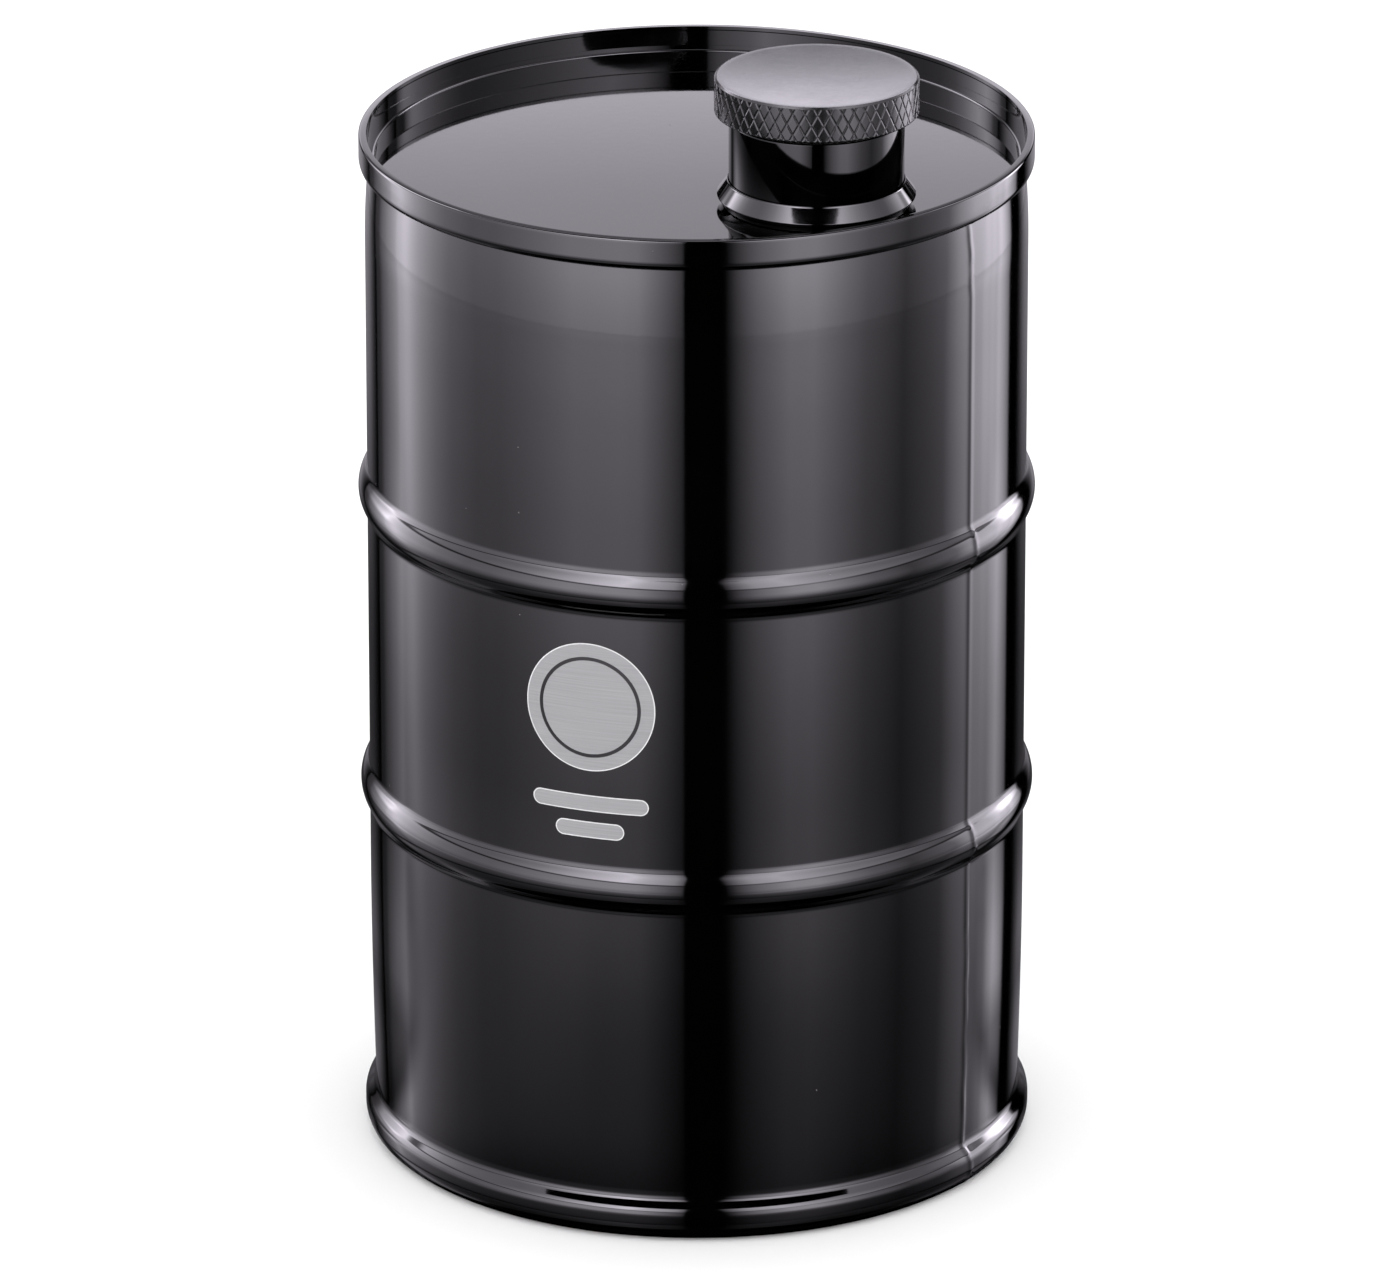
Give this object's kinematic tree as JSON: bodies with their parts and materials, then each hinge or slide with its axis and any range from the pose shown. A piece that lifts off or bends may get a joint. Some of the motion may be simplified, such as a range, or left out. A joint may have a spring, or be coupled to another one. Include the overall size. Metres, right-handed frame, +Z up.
{
  "type": "table oil can",
  "caption": "Lacquered steel table oil can shaped like an oil drum, with rolled hoops and a knurled screw cap on an offset neck.",
  "frame": {"origin": "centre of the base, on the surface the can stands on", "axes": "+Z up along the drum's axis, -Y towards the front; the neck stands at the front right, towards +X and -Y"},
  "size_m": [0.0822, 0.0822, 0.1397],
  "materials": {
    "black_lacquer": "high gloss",
    "satin_black_metal": "satin",
    "stainless_steel": "brushed",
    "black_plastic": "matte",
    "clear_silicone": "satin"
  },
  "bodies": {
    "root": {"body_shell": "black_lacquer", "lid_pan": "black_lacquer", "base_pan": "black_lacquer", "neck_tube": "black_lacquer", "neck_collar": "black_lacquer", "thread_bush": "stainless_steel", "pourer_insert": "black_plastic", "pourer_seal": "clear_silicone", "breather_tube": "stainless_steel"},
    "seal_carriage": {"cap_gasket": "clear_silicone"},
    "cap": {"cap_knob": "satin_black_metal", "cap_plug": "black_plastic"}
  },
  "joints": [
    {"name": "cap_rise", "type": "slide", "parent": "root", "child": "seal_carriage", "axis": [0, 0, 1], "range_m": [0, 0.0073]},
    {"name": "cap_turn", "type": "hinge", "parent": "seal_carriage", "child": "cap", "pos_m": [0.01428, -0.01428, 0.1353], "axis": [0, 0, 1], "range_deg": [0, 1080]}
  ],
  "couplings": [
    {"joint": "cap_rise", "follows": "cap_turn", "m_per_rad": 0.00038197}
  ]
}
